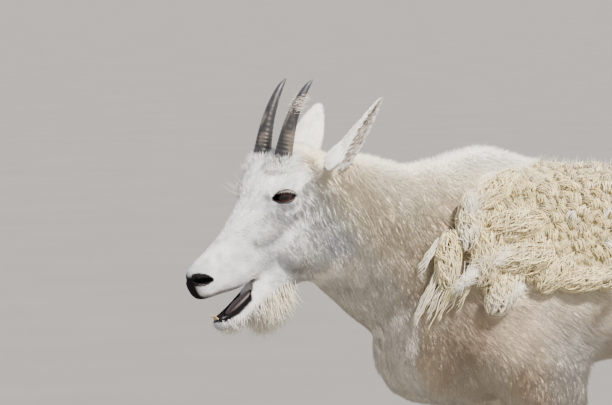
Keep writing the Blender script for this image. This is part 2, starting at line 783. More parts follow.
def wool_colour(points, white=0.0):
    patch = value_noise(points, 60, 8)
    fine = value_noise(points, 12, 9)
    colour = mix(STRAW, DEEP_STRAW, smoothstep(fine + 0.4 * patch, -0.2, 1.3) * 0.6)
    top = smoothstep(points[:, 2], 740, 800)
    colour = mix(colour, CREAM, np.clip(top * 0.6 + 0.25 * patch, 0, 1))
    return mix(colour, WHITE, np.clip(np.broadcast_to(white, len(points)), 0, 1))


# Meshes

# Most triangles of strands in one piece, and the size of a tuft's patch on the bake map
STRAND_TRIANGLES = 190000
TUFT_PATCH = 0.003


def set_uv(me, uv, faces):
    """The bake map. A face that crosses the seam of an island is kept on one side of it."""
    corner_uv = uv[faces].astype(np.float32)
    ahead = corner_uv[..., 1] - corner_uv[:, :1, 1]
    wrap = np.where(ahead > 0.5, -0.96, np.where(ahead < -0.5, 0.96, 0))
    corner_uv[..., 1] = np.clip(corner_uv[..., 1] + wrap, 0.001, 0.999)
    me.uv_layers.new(name="OFBake").data.foreach_set("uv", corner_uv.ravel())


def link(name, data):
    thing = bpy.data.objects.new(name, data)
    bpy.context.scene.collection.objects.link(thing)
    return thing


def make_mesh(name, verts, faces, material, colours, slot="coat", uv=None):
    """A piece from arrays in the animal's millimetres. Faces are one array of triangles or of quads."""
    uv = unwrap(verts) if uv is None else uv
    me = bpy.data.meshes.new(name)
    verts = ((verts + SHIFT) / 1000).astype(np.float32)
    faces = np.asarray(faces, np.int32)
    count, corners = faces.shape
    me.vertices.add(len(verts))
    me.vertices.foreach_set("co", verts.ravel())
    me.loops.add(count * corners)
    me.loops.foreach_set("vertex_index", faces.ravel())
    me.polygons.add(count)
    me.polygons.foreach_set("loop_start", np.arange(0, count * corners, corners, dtype=np.int32))
    me.polygons.foreach_set("use_smooth", np.ones(count, bool))
    rgba = np.ones((len(verts), 4), np.float32)
    rgba[:, :3] = np.clip(colours, 0, 1)
    me.color_attributes.new("Coat", "FLOAT_COLOR", "POINT").data.foreach_set("color", rgba.ravel())
    set_uv(me, uv, faces)
    me.update(calc_edges=True)
    me.validate()
    me.materials.append(material)
    piece = link(name, me)
    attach(piece, "root")
    return piece


def tube_quads(rows, sides):
    """Quads between rings of points."""
    i, j = np.meshgrid(np.arange(rows - 1), np.arange(sides), indexing="ij")
    a, b = i * sides + j, i * sides + (j + 1) % sides
    return np.stack([a, a + sides, b + sides, b], -1).reshape(-1, 4)


def strands(paths, width, up, thick=0.55):
    """Three-sided tapering strands along paths, each ending in a point. Returns points and triangles."""
    count, rings, _ = paths.shape
    tangent = unit(np.gradient(paths, axis=1))
    across = unit(np.cross(tangent, up[:, None, :]))
    over = np.cross(across, tangent)
    body = paths[:, :-1, None, :]
    half = (width / 2)[:, :, None, None]
    across, over = across[:, :-1, None, :], over[:, :-1, None, :]
    corners = np.array([[1.0, -0.4], [-1.0, -0.4], [0.0, 0.9]])
    ring = body + half * (across * corners[:, 0, None] + over * thick * corners[:, 1, None])
    points = np.concatenate([ring.reshape(count, -1, 3), paths[:, -1:, :]], axis=1)
    per = points.shape[1]
    faces = []
    for i in range(rings - 2):
        for j in range(3):
            a, b = 3 * i + j, 3 * i + (j + 1) % 3
            faces += [[a, b, b + 3], [a, b + 3, a + 3]]
    last = 3 * (rings - 2)
    faces += [[last + j, last + (j + 1) % 3, per - 1] for j in range(3)]
    faces = np.array(faces)[None] + (np.arange(count) * per)[:, None, None]
    return points, faces.reshape(-1, 3)


def add_strands(
    name, material, paths, widths, up, colours, roots, thick=0.55, shade=(0.62, 1.06), slot="coat"
):
    """Strands as pieces of less than 200,000 triangles, darker or lighter at the root than at the tip."""
    count, rings, _ = paths.shape
    limit = STRAND_TRIANGLES // ((rings - 2) * 6 + 3)
    widths = np.broadcast_to(widths, (count, rings - 1))
    up, colours = np.broadcast_to(up, roots.shape), np.broadcast_to(colours, roots.shape)
    uv_root = unwrap(roots)
    fade = shade[0] + (shade[1] - shade[0]) * np.linspace(0, 1, rings) ** 0.7
    index = np.append(np.repeat(np.arange(rings - 1), 3), rings - 1)
    side_share = np.append(np.tile([0, 0.5, 1], rings - 1), 0.5)
    patch = TUFT_PATCH * np.stack([index / rings, side_share], -1)
    for number, start in enumerate(range(0, count, limit)):
        pick = slice(start, start + limit)
        points, faces = strands(paths[pick], widths[pick], up[pick], thick)
        tint = (colours[pick, None, :] * fade[index][None, :, None]).reshape(-1, 3)
        uv = (uv_root[pick, None, :] + patch[None]).reshape(-1, 2)
        label = name if count <= limit else f"{name}_{number + 1}"
        make_mesh(label, points.reshape(-1, 3), faces, material, tint, slot, uv)


def add_bundles(name, material, parts, *looks):
    """Strands from groups that each hold paths, widths, facings, colours and roots."""
    add_strands(name, material, *[np.concatenate(part) for part in zip(*parts)], *looks)


def straight(root, way, length, t):
    """Straight paths, with a place at each share t of the length."""
    return root[:, None] + way[:, None] * (length[:, None] * t)[..., None]


# Materials


def set_inputs(node, inputs):
    """Sets inputs by name. An underscore stands for a space."""
    for key, value in inputs.items():
        node.inputs[key.replace("_", " ")].default_value = value


def new_material(name, **inputs):
    material = bpy.data.materials.new(name)
    material.use_nodes = True
    nodes, links = material.node_tree.nodes, material.node_tree.links
    shader = nodes["Principled BSDF"]
    set_inputs(shader, inputs)
    return material, nodes, links, shader


def add_node(nodes, kind, **inputs):
    node = nodes.new(kind)
    set_inputs(node, inputs)
    return node


def add_noise(nodes, links, scale, detail):
    place = add_node(nodes, "ShaderNodeTexCoord")
    noise = add_node(nodes, "ShaderNodeTexNoise", Scale=scale, Detail=detail)
    links.new(place.outputs["Object"], noise.inputs["Vector"])
    return noise.outputs["Fac"]


def add_bump(nodes, links, shader, height, strength, distance):
    dent = add_node(nodes, "ShaderNodeBump", Strength=strength, Distance=distance)
    links.new(height, dent.inputs["Height"])
    links.new(dent.outputs["Normal"], shader.inputs["Normal"])


def painted_material(name, noise, span, bump=None, **inputs):
    """Colour from a piece's own marks times noise of a scale and a detail, with its span in and out."""
    material, nodes, links, shader = new_material(name, **inputs)
    mark = add_node(nodes, "ShaderNodeAttribute")
    mark.attribute_name = "Coat"
    speckle = add_noise(nodes, links, *noise)
    ramp = add_node(nodes, "ShaderNodeMapRange")
    set_inputs(ramp, dict(zip(("From_Min", "From_Max", "To_Min", "To_Max"), span)))
    links.new(speckle, ramp.inputs["Value"])
    scaled = add_node(nodes, "ShaderNodeVectorMath")
    scaled.operation = "SCALE"
    links.new(mark.outputs["Color"], scaled.inputs[0])
    links.new(ramp.outputs["Result"], scaled.inputs["Scale"])
    links.new(scaled.outputs["Vector"], shader.inputs["Base Color"])
    if bump:
        scale, detail, strength, distance = bump
        add_bump(nodes, links, shader, add_noise(nodes, links, scale, detail), strength, distance)
    return material


def coat_material(name, scale, strength, bump, **inputs):
    """Marks varied by fine noise, with a finer bump or none."""
    span = (0.3, 0.7, 1 - strength, 1 + strength * 0.3)
    return painted_material(name, (scale, 4.0), span, bump and (scale * 4, 3.0, bump, 0.002), **inputs)


skin_material = coat_material("skin", 60, 0.18, 0.5, Roughness=0.9, Specular_IOR_Level=0.12)
fur_material = coat_material("fur", 90, 0.1, None, Roughness=0.75, Sheen_Weight=0.2)
wool_material = coat_material("wool", 140, 0.22, None, Roughness=0.85, Sheen_Weight=0.3)


# The skin

x_steps = steps((-548, FINE), (-240, COARSE), (770, 0))
y_steps = steps((-196, COARSE), (-162, FINE), (20, COARSE), (196, 0))
z_steps = steps((36, COARSE), (480, FINE), (812, COARSE), (836, 0))
skin_points, skin_quads = mesh_field(skin_field, [x_steps, y_steps, z_steps])


def keep_largest(points, faces):
    """Drops loose scraps: keeps the faces joined to the largest set of points."""
    label = np.arange(len(points))
    for _ in range(400):
        low = label[faces].min(1)
        new = label.copy()
        for k in range(faces.shape[1]):
            np.minimum.at(new, faces[:, k], low)
        new = new[new]
        if (new == label).all():
            break
        label = new
    main = np.bincount(label).argmax()
    used = label == main
    number = np.cumsum(used) - 1
    return points[used], number[faces[used[faces[:, 0]]]]


skin_points, skin_quads = keep_largest(skin_points, skin_quads)
woolly = np.maximum(fleece_share(skin_points, 14), rolls_field(skin_points, ROLL_SHRINK) < 3)
skin_shade = 0.95 - 0.13 * head_share(skin_points)[:, None]
skin_colour = mix(markings(skin_points) * skin_shade, wool_colour(skin_points) * 0.6, woolly)
skin = make_mesh("skin", skin_points, skin_quads, skin_material, skin_colour)
FLESH = ["head", "lower_jaw", "neck", "chest", "barrel", "rump", "tail"]
LEG_PARTS = ["foreleg", "foreshank", "hindleg", "hindshank"]
FLESH += [f"{part}_{word}" for part in LEG_PARTS for word in ("left", "right")]
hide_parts(*FLESH)

skin_normals = np.empty(len(skin_points) * 3, np.float32)
skin.data.vertices.foreach_get("normal", skin_normals)
skin_normals = skin_normals.reshape(-1, 3).astype(float)
skin_tris = np.concatenate([skin_quads[:, [0, 1, 2]], skin_quads[:, [0, 2, 3]]])
tri_points = skin_points[skin_tris]
edge_one, edge_two = tri_points[:, 1] - tri_points[:, 0], tri_points[:, 2] - tri_points[:, 0]
tri_area = np.linalg.norm(np.cross(edge_one, edge_two), axis=1) / 2
tri_middle = tri_points.mean(1)


def scatter(count, weight, draws):
    """Random places on the skin, as many as asked, denser where the weight is higher."""
    chance = np.cumsum(tri_area * weight)
    pick = np.searchsorted(chance, draws.uniform(0, chance[-1], count))
    pick = np.minimum(pick, len(chance) - 1)
    a, b = draws.random(count), draws.random(count)
    flip = a + b > 1
    a[flip], b[flip] = 1 - a[flip], 1 - b[flip]
    share = np.stack([1 - a - b, a, b], -1)[:, :, None]
    corners = skin_tris[pick]
    return (skin_points[corners] * share).sum(1), unit((skin_normals[corners] * share).sum(1))


# The lie of the coat


def lie_of_coat(points):
    q = local(HEAD, points)
    s, up = q[:, 0], q[:, 2]
    head = head_share(points)[:, None]
    droop = np.interp(s, [-80, 0, 60, 110, 190], [2.4, 1.9, 0.9, 0.4, 0.15])
    droop = np.where(up > 0, 0.1, droop)[:, None]
    face = -HEAD[1][0] + DOWN * droop
    neck = -NECK[1][0] * 0.55 + DOWN * 0.85
    body = np.array([0.85, 0, -0.62])
    leg = np.array([0.12, 0, -1.0])
    behind = smoothstep(points[:, 0], -120, 30)[:, None]
    low = smoothstep(470 - points[:, 2], -40, 60)[:, None]
    chest = (smoothstep(-points[:, 0], 20, 90) * smoothstep(560 - points[:, 2], 0, 60))[:, None]
    way = neck * (1 - behind) + body * behind
    way = way * (1 - low) + leg * low
    way = way * (1 - chest) + (DOWN + np.array([0.25, 0, 0])) * chest
    return unit(way * (1 - head) + face * head)


def lay(way, normal):
    """A direction turned so that it lies along the surface."""
    return unit(way - normal * (way * normal).sum(1, keepdims=True))


def wander(points, size, amount, seed):
    parts = [value_noise(points, size, seed + k) for k in range(3)]
    return np.stack(parts, -1) * amount


def fur_paths(root, normal, way, length, stand, rings=3):
    """Paths that leave the skin at an angle and bend to lie along the coat."""
    t = np.linspace(0, 1, rings)
    paths = [root - normal * 1.5]
    for a, b in zip(t, t[1:]):
        angle = (stand + 0.3 - 0.55 * (a + b) / 2)[:, None]
        step = way * np.cos(angle) + normal * np.sin(angle)
        paths.append(paths[-1] + step * ((b - a) * length)[:, None])
    return np.stack(paths, 1)


def bare_share(points):
    """1 on skin with no fur: the nose, the mouth and the edges of the lids."""
    q = local(HEAD, points)
    bare = np.maximum(nose_share(q), mouth_share(q))
    for eye in EYES:
        e = local((eye["centre"], eye["axes"]), points)
        upper, lower = almond(e[:, 0])
        rim = (e[:, 1] < upper + 2.5) & (e[:, 1] > lower - 2.5) & (np.abs(e[:, 0]) < EYE_LENGTH / 2 + 5)
        rim = rim & (e[:, 2] > 0) & (np.linalg.norm(e, axis=1) < 26)
        bare = np.maximum(bare, rim)
    return bare


tri_head = head_share(tri_middle)
tri_rolled = rolls_field(tri_middle, ROLL_SHRINK) < 3
tri_wool = np.maximum(fleece_share(tri_middle, 14), tri_rolled)
tri_bare = bare_share(tri_middle)


def clear_of_eyes(paths):
    """Which strands keep out of the openings of the eyes."""
    clear = np.ones(len(paths), bool)
    for eye in EYES:
        for place in (paths.mean(1), paths[:, -1]):
            gap, close = eye_gap(eye, place)
            clear &= ~(close & (gap < 0.5))
    return clear


def streaks(points, seed):
    """Darker and lighter streaks, drawn out along the lie of the coat."""
    way = lie_of_coat(points)
    offset = points - HEAD[0]
    drawn_out = offset - 0.78 * way * (offset * way).sum(1, keepdims=True)
    found = value_noise(drawn_out, 5.5, seed) * 0.13
    return np.where(found < 0, found, found * 0.5)


def add_fur(name, count, weight, size, seed):
    """One kind of fur: length, width, how far it stands and how much its length varies."""
    draws = np.random.default_rng(seed)
    length, width, stand, vary = size
    root, normal = scatter(count, weight * (1 - tri_bare), draws)
    way = lie_of_coat(root) + wander(root, 30, 0.3, seed) + draws.normal(0, 0.13, (count, 3))
    taper = np.interp(local(HEAD, root)[:, 0], [-60, 0, 110, 190], [1.25, 0.95, 0.6, 0.4])
    share = head_share(root)
    shorter = 1 - share + share * taper
    leg = np.interp(root[:, 2], [60, 250, 420], [0.5, 0.6, 1.0])
    crest = smoothstep(normal[:, 2], 0.5, 0.95) * smoothstep(root[:, 2], 640, 720) * (1 - share)
    long = length * shorter * leg * draws.uniform(1 - vary, 1 + vary, count) * (1 - 0.45 * crest)
    rise = stand + draws.normal(0, 0.05, count) + crest * 0.85
    paths = fur_paths(root, normal, lay(way, normal), long, rise, 2)
    wide = width * (0.7 + 0.3 * shorter) * draws.uniform(0.75, 1.3, count)
    clear = clear_of_eyes(paths)
    root, normal, paths, wide, share = [part[clear] for part in (root, normal, paths, wide, share)]
    shade = draws.normal(1.0, 0.06, len(root)) + streaks(root, seed + 9) * (0.8 + 2.2 * share)
    tint = markings(root) * shade[:, None]
    add_strands(name, fur_material, paths, wide[:, None], normal, tint, root, 0.6, (0.82, 1.08))


near_side = 1 + 0.8 * smoothstep(-tri_middle[:, 1], -60, 40) * smoothstep(330 - tri_middle[:, 0], 0, 60)
in_view = smoothstep(300 - tri_middle[:, 0], -60, 60)
add_fur("fur_head", HEAD_HAIRS, tri_head * (1 - tri_wool), (16, 1.1, 0.17, 0.35), 21)
body_weight = (1 - tri_head) * (1 - tri_wool) * near_side
add_fur("fur_body", BODY_HAIRS, body_weight * (0.3 + in_view), (21, 1.35, 0.15, 0.4), 22)


# The fleece: hooked curls in small clumps, strands wrapped round the rolls, and hanging locks


def spread(points, pitch, draws):
    """Picks places that are about a pitch apart from a random crowd."""
    near_by = (-1, 0, 1)
    taken = {}
    kept = []
    for i in draws.permutation(len(points)):
        x, y, z = (points[i] // pitch).astype(int)
        cells = [(x + dx, y + dy, z + dz) for dx in near_by for dy in near_by for dz in near_by]
        others = [j for cell in cells for j in taken.get(cell, ())]
        if others and np.sum((points[others] - points[i]) ** 2, axis=1).min() < pitch * pitch:
            continue
        taken.setdefault((x, y, z), []).append(i)
        kept.append(i)
    return np.array(kept)


def add_curls():
    """Small crimped clumps: each is a row of strands that arch side by side over a dome."""
    draws = np.random.default_rng(31)
    weight = smoothstep(tri_wool, 0.4, 0.6) * (1 - tri_rolled)
    crowd, normals = scatter(CURL_CROWD, weight, draws)
    kept = spread(crowd, CURL_PITCH, draws)
    centre, normal = crowd[kept], normals[kept]
    per, rings = 7, 6
    clumps, count = len(kept), len(kept) * per
    centre, normal = np.repeat(centre, per, 0), np.repeat(normal, per, 0)
    clump_way = np.repeat(draws.normal(0, 0.42, (clumps, 3)), per, 0) + np.array([0.2, 0, -1.0])
    way = lay(clump_way + draws.normal(0, 0.12, (count, 3)), normal)
    across = np.cross(normal, way)
    row = np.tile(np.arange(per), clumps) / (per - 1) - 0.5
    size = np.repeat(draws.uniform(0.75, 1.25, clumps), per) * draws.uniform(0.9, 1.1, count)
    size = size * (0.55 + 0.45 * back_thickness(centre))
    root = centre + across * (row * 13 * size)[:, None] + way * draws.uniform(-9, -5, count)[:, None]
    radius = 9.0 * size
    bow = 1 - 1.7 * row**2
    paths = []
    for a in np.linspace(-0.2, 3.3, rings):
        out = normal * (radius * (0.1 + 0.95 * math.sin(a) * bow) + 1.0)[:, None]
        ahead = way * (radius * (1 - math.cos(a)))[:, None]
        paths.append(root + out + ahead + across * draws.normal(0, 0.35, count)[:, None])
    paths = np.stack(paths, 1)
    widths = (2.7 * size)[:, None] * np.linspace(0.85, 0.9, rings - 1)
    tint = wool_colour(root) * draws.normal(1.0, 0.1, (count, 1))
    tint *= np.repeat(draws.normal(1.0, 0.1, (clumps, 1)), per, 0)
    white = np.repeat(draws.random(clumps) < 0.06, per)
    tint = mix(tint, WHITE, white * 0.6)
    up = unit(normal + way * 0.6)
    add_strands("fleece_curls", wool_material, paths, widths, up, tint, root, 0.8, (0.6, 1.06), "fleece")


def add_fuzz():
    """Fine loose hairs that stand out of the fleece."""
    draws = np.random.default_rng(33)
    weight = smoothstep(tri_wool, 0.3, 0.6)
    count = FUZZ_HAIRS
    root, normal = scatter(count, weight, draws)
    way = unit(normal * draws.uniform(0.5, 1.3, (count, 1)) + draws.normal(0, 0.8, (count, 3)) + DOWN * 0.3)
    paths = straight(root + normal * 4, way, draws.uniform(12, 24, count), np.array([0, 1]))
    wide = draws.uniform(0.5, 1.0, (count, 1))
    tint = mix(wool_colour(root), WHITE, draws.uniform(0, 0.7, count))
    add_strands("fleece_fuzz", wool_material, paths, wide, normal, tint, root, 0.8, (0.9, 1.05), "fleece")


def wave(paths, across, amount, length, draws):
    """Adds a crimp to paths: a wave along each, with its own phase."""
    count, rings, _ = paths.shape
    steps_along = np.linalg.norm(np.diff(paths, axis=1), axis=2)
    run = np.append(np.zeros((count, 1)), np.cumsum(steps_along, 1), 1)
    phase = draws.uniform(0, 2 * math.pi, (count, 1))
    swing = np.sin(run / length * 2 * math.pi + phase) * np.linspace(0.2, 1, rings)
    return paths + np.broadcast_to(across, (count, 3))[:, None, :] * (swing * amount)[:, :, None]


def add_roll_wool():
    """Strands laid along each matted roll, with a few that lean across it."""
    draws = np.random.default_rng(37)
    parts = []
    rings = 6
    t = np.linspace(-0.5, 0.5, rings)
    for roll in rolls:
        count = 370
        along = draws.uniform(-0.9, 0.9, count)
        angle = draws.uniform(-2.2, 2.2, count)
        lengthwise = draws.random(count) < 0.82
        lean = np.where(lengthwise, draws.normal(0.25, 0.3, count), draws.normal(1.6, 0.4, count))
        span = draws.uniform(0.3, 0.7, count) * (1.15 - 0.3 * np.abs(lean))
        u = np.clip(along[:, None] + t * span[:, None], -0.985, 0.985)
        v = angle[:, None] + t * lean[:, None]
        ring = np.sqrt(1 - u * u)
        furrow = 0.06 * np.sin(7 * angle + 3 * along)[:, None]
        lift = 0.93 + 0.1 * np.cos(t * math.pi) + draws.uniform(-0.05, 0.06, (count, 1)) + furrow
        shape = np.stack([u, ring * np.sin(v), ring * np.cos(v)], -1) * lift[..., None]
        paths = roll["centre"] + (shape * roll["radii"]) @ roll["axes"]
        up = unit(shape[:, rings // 2]) @ roll["axes"]
        side_way = unit(np.cross(paths[:, -1] - paths[:, 0], up))
        paths = wave(paths, side_way, 1.2, 15, draws)
        wide = draws.uniform(1.4, 2.9, count)
        widths = wide[:, None] * np.interp(t[:-1], [-0.5, -0.2, 0.2, 0.5], [0.5, 1, 1, 0.5])
        root = paths[:, rings // 2]
        tip = smoothstep(-along * np.sign(roll["axes"][0, 2]), -0.2, 0.8)
        white = roll["white"] * (0.3 + 0.7 * tip) * draws.uniform(0.5, 1.2, count)
        tint = wool_colour(root, white) * draws.normal(1.0, 0.1, (count, 1)) * (1 + 1.6 * furrow)
        parts.append((paths, widths, up, tint, root))
    add_bundles("fleece_rolls", wool_material, parts, 0.7, (0.9, 1.02), "fleece")


# Loose white wisps: place in side view, slope, length, thickness
WISPS = [
    [-30, 706, 78, 60, 9],
    [4, 634, 12, 64, 9],
    [-44, 604, 40, 52, 8],
    [30, 572, 50, 40, 8],
    [206, 588, 50, 34, 7],
]


def add_wisps():
    """Soft white tufts of loose wool lying over the rolls."""
    draws = np.random.default_rng(41)
    parts = []
    rings = 6
    t = np.linspace(0, 1, rings)
    for side in (1, -1):
        for x, z, slope, length, thick in WISPS:
            point, normal, _ = on_flank(x, z, side)
            point, normal = point[0], normal[0]
            angle = math.radians(slope)
            lie = unit(np.array([-math.cos(angle), 0, -math.sin(angle)]))
            across = unit(np.cross(normal, lie))
            count = 110
            off = draws.normal(0, 0.25, (count, 2)) * thick
            begin = draws.uniform(-0.6, -0.1, count) * length
            run = draws.uniform(0.5, 1.0, count) * length
            line = begin[:, None] + run[:, None] * t
            pinch = 1 - 0.5 * np.abs(line / length)
            bow = np.cos(line / length * 2.2) * 6 + 21
            high = bow + off[:, 1:] * 0.6 * pinch
            paths = point + lie * line[..., None] + across * (off[:, :1] * pinch)[..., None]
            paths = paths + normal * high[..., None]
            turn = draws.normal(0, 0.45, (count, 1))
            middle = begin + run / 2
            aside = np.sin(turn) * (line - middle[:, None])
            paths = paths + across * aside[..., None]
            paths = wave(wave(paths, across, 3.2, 17, draws), normal, 2.2, 21, draws)
            wide = draws.uniform(0.7, 1.4, count)
            widths = wide[:, None] * np.array([0.6, 1, 1, 0.9, 0.6])
            tint = rgb(252, 243, 224) * draws.normal(1.0, 0.05, (count, 1))
            parts.append((paths, widths, np.tile(normal, (count, 1)), tint, paths[:, 0]))
    add_bundles("fleece_wisps", wool_material, parts, 0.7, (1.0, 1.05), "fleece")


# Locks that hang in front: root x and z, tip x and z, width, number of strands, whiteness
HANGING = [
    [-76, 640, -134, 518, 11, 18, 0.5],
    [-64, 630, -112, 530, 9, 14, 0.3],
    [-54, 618, -94, 534, 8, 12, 0.1],
    [-44, 606, -80, 552, 8, 10, 0.3],
    [-86, 664, -126, 606, 10, 12, 0.4],
    [-34, 600, -62, 560, 7, 8, 0.1],
]


def hanging_bundles():
    """The locks in front, a fringe along the hem and three tiers on each thigh."""
    draws = np.random.default_rng(43)
    bundles = [(side, *row) for side in (1, -1) for row in HANGING]
    for side in (1, -1):
        for x in np.arange(236, 560, 17):
            top = float(read(HEM_TABLE, np.array([x]))[0][0]) + 8
            tip_x = x + draws.uniform(6, 26)
            bundles.append((side, x, top, tip_x, top - draws.uniform(36, 64), 20, 16, 0.15))
        step = 0 if side > 0 else HINDLEG_STEP
        for tier, (top, bottom) in enumerate([(575, 505), (535, 462), (490, 425)]):
            for i in range(9):
                x = step + 568 + 17.5 * i + tier * 3
                tip_z = bottom + draws.uniform(-12, 12) - 2 * i
                root_z = top + draws.uniform(-8, 8)
                bundles.append((side, x, root_z, x + draws.uniform(0, 12), tip_z, 20, 16, 0.2))
    return bundles


def add_hanging_locks():
    draws = np.random.default_rng(47)
    parts = []
    for side, x, z, tip_x, tip_z, width, number, white in hanging_bundles():
        spread_x = draws.normal(0, width * 0.22, number)
        spread_z = draws.normal(0, 5, number)
        low_x, low_z = tip_x + spread_x * 0.3, tip_z + draws.normal(0, 9, number)
        top, normal, on_top = on_flank(x + spread_x, z + spread_z, side)
        low, _, on_low = on_flank(low_x, low_z, side)
        good = on_top & on_low
        top, normal, low, number = top[good], normal[good], low[good], int(good.sum())
        if number == 0:
            continue
        t = np.linspace(0, 1, 7)[None, :, None]
        lift = draws.uniform(8, 16, number)[:, None, None]
        line = top[:, None] * (1 - t) + low[:, None] * t
        bulge = np.sin(np.clip(t * 1.25, 0, 1) * math.pi * 0.8)
        paths = line + normal[:, None, :] * lift * bulge
        paths = wave(paths, unit(np.cross(low - top, normal)), 2.6, 38, draws)
        wide = draws.uniform(1.5, 3.0, number)
        widths = wide[:, None] * np.array([0.9, 1, 1, 0.95, 0.8, 0.55])
        tint = wool_colour(top, white * draws.uniform(0, 2, number)) * draws.normal(1.0, 0.1, (number, 1))
        parts.append((paths, widths, normal, tint, top))
    add_bundles("fleece_locks", wool_material, parts, 0.6, (0.75, 1.05), "fleece")


add_curls()
add_fuzz()
add_roll_wool()
add_wisps()
add_hanging_locks()


# Beard, chin and tail


def add_beard():
    draws = np.random.default_rng(59)
    count, rings = 5200, 5
    s = draws.triangular(46, 92, 140, count)
    chin = draws.random(count) < 0.22
    s = np.where(chin, draws.uniform(134, 191, count), s)
    l = draws.normal(0, 0.42, count).clip(-1, 1)
    low, half = read(smooth_table(JAW_SECTIONS), s)[1:3]
    root = at(HEAD, s, l * half * 0.9, low + 8 + 14 * np.abs(l))
    length = np.interp(s, [46, 62, 88, 108, 122, 138, 165, 190], [26, 50, 60, 54, 42, 18, 20, 14])
    length = length * draws.uniform(0.6, 1.06, count)
    back = np.interp(s, [50, 90, 190], [0.2, 0.05, 0.1])
    fanned = DOWN - HEAD[1][0] * back[:, None] + HEAD[1][1] * (l * 0.34)[:, None]
    way = unit(fanned + draws.normal(0, 0.1, (count, 3)))
    t = np.linspace(0, 1, rings)
    paths = straight(root, way, length, t)
    pull = -HEAD[1][0] * (np.sin(s / 9) * 5)[:, None] + draws.normal(0, 4, (count, 3))
    paths = paths + pull[:, None] * (t**2)[None, :, None]
    paths = wave(paths, unit(np.cross(way, HEAD[1][1])), 2.2, 34, draws)
    wide = draws.uniform(0.6, 1.4, count)
    widths = wide[:, None] * np.array([0.9, 1, 0.85, 0.6])
    yellow = draws.uniform(0.1, 0.6, count) + 0.4 * smoothstep(125 - s, -10, 30)
    tint = mix(WHITE, rgb(246, 234, 204), yellow) * draws.normal(1.0, 0.06, (count, 1))
    add_strands("beard", fur_material, paths, widths, HEAD[1][1], tint, root, 0.5, (0.97, 1.05))


def add_tail():
    draws = np.random.default_rng(61)
    count, rings = 1100, 5
    s = draws.uniform(4, 88, count)
    turn = draws.uniform(-math.pi, math.pi, count)
    root = at(TAIL, s, np.sin(turn) * 13 * (1 - s / 130), np.cos(turn) * 11 * (1 - s / 130))
    normal = unit(at(TAIL, s, np.sin(turn), np.cos(turn)) - at(TAIL, s, 0 * s, 0 * s))
    way = unit(TAIL[1][0] + DOWN * 0.25 + draws.normal(0, 0.1, (count, 3)))
    length = draws.uniform(34, 56, count)
    t = np.linspace(0, 1, rings)
    paths = straight(root, way, length, t) + normal[:, None] * (7 * np.sin(t * 2.2))[None, :, None]
    widths = draws.uniform(2, 3.4, count)[:, None] * np.array([0.9, 1, 0.9, 0.6])
    tint = CREAM * draws.normal(1.0, 0.08, (count, 1))
    add_strands("tail_hair", fur_material, paths, widths, normal, tint, root, 0.5)


add_beard()
add_tail()


# Horns


def curve_points(rows, count):
    """A smooth curve through a few points, by even parameter."""
    rows = np.array(rows, float)
    table = smooth_table(np.column_stack([np.arange(len(rows)), rows]), 16)
    return np.stack(read(table, np.linspace(0, len(rows) - 1, count)), -1)


def sweep(centres, radii, first_side, sides):
    """A tube through centres. Returns points and quads."""
    tangent = unit(np.gradient(centres, axis=0))
    across = unit(np.cross(tangent, first_side))
    ahead = np.cross(across, tangent)
    angle = np.linspace(0, 2 * math.pi, sides, endpoint=False)
    ring = across[:, None] * np.cos(angle)[:, None] + ahead[:, None] * np.sin(angle)[:, None]
    points = centres[:, None] + ring * radii[:, None, None]
    return points.reshape(-1, 3), tube_quads(len(centres), sides)


# How many places the line of a horn is read at, and the line itself: forward, up and outward
HORN_SAMPLES = 150
HORN_LINE = [
    [-6, 42, 31],
    [-13, 66, 32],
    [-19, 94, 33.5],
    [-27, 122, 35],
    [-39, 150, 37],
    [-52, 172, 39],
    [-63, 185, 40.5],
]


def horn_line(side):
    f, u, l = np.array(HORN_LINE).T
    return curve_points(at(LEVEL_HEAD, f, side * l, u), HORN_SAMPLES)


def level_ring(turn):
    """Directions round a horn, in the level plane of the head."""
    return LEVEL_HEAD[1][0] * np.cos(turn)[:, None] + LEVEL_HEAD[1][1] * np.sin(turn)[:, None]


def add_horn(side, name, material):
    line = horn_line(side)
    t = np.linspace(0, 1, HORN_SAMPLES)
    ridges = np.sin(t * 150 + 2 * np.sin(t * 21)) * np.clip(1 - t / 0.62, 0, 1)
    radii = HORN_BASE_RADIUS * (1 - t * 0.997) ** 0.62 * (1 - 0.12 * t) + 0.42 * ridges
    sides = 36
    points, quads = sweep(line, radii, LEVEL_HEAD[1][0], sides)
    height = np.repeat(t, sides)
    scuffs = smoothstep(value_noise(points * np.array([1, 1, 0.35]), 9, 12), 0.0, 0.8)
    worn = scuffs * np.interp(height, [0, 0.15, 0.7, 1], [0.5, 1, 0.6, 0.1])
    colour = mix(rgb(40, 38, 38), rgb(128, 112, 100), worn * 0.85)
    colour = mix(colour, rgb(58, 64, 74), smoothstep(height, 0.6, 1) * 0.7)
    colour = mix(colour, rgb(24, 24, 26), smoothstep(0.16 - height, 0, 0.1))
    piece = make_mesh(name, points, quads, material, colour, "horn")
    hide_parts(name.replace("_sheath", ""))


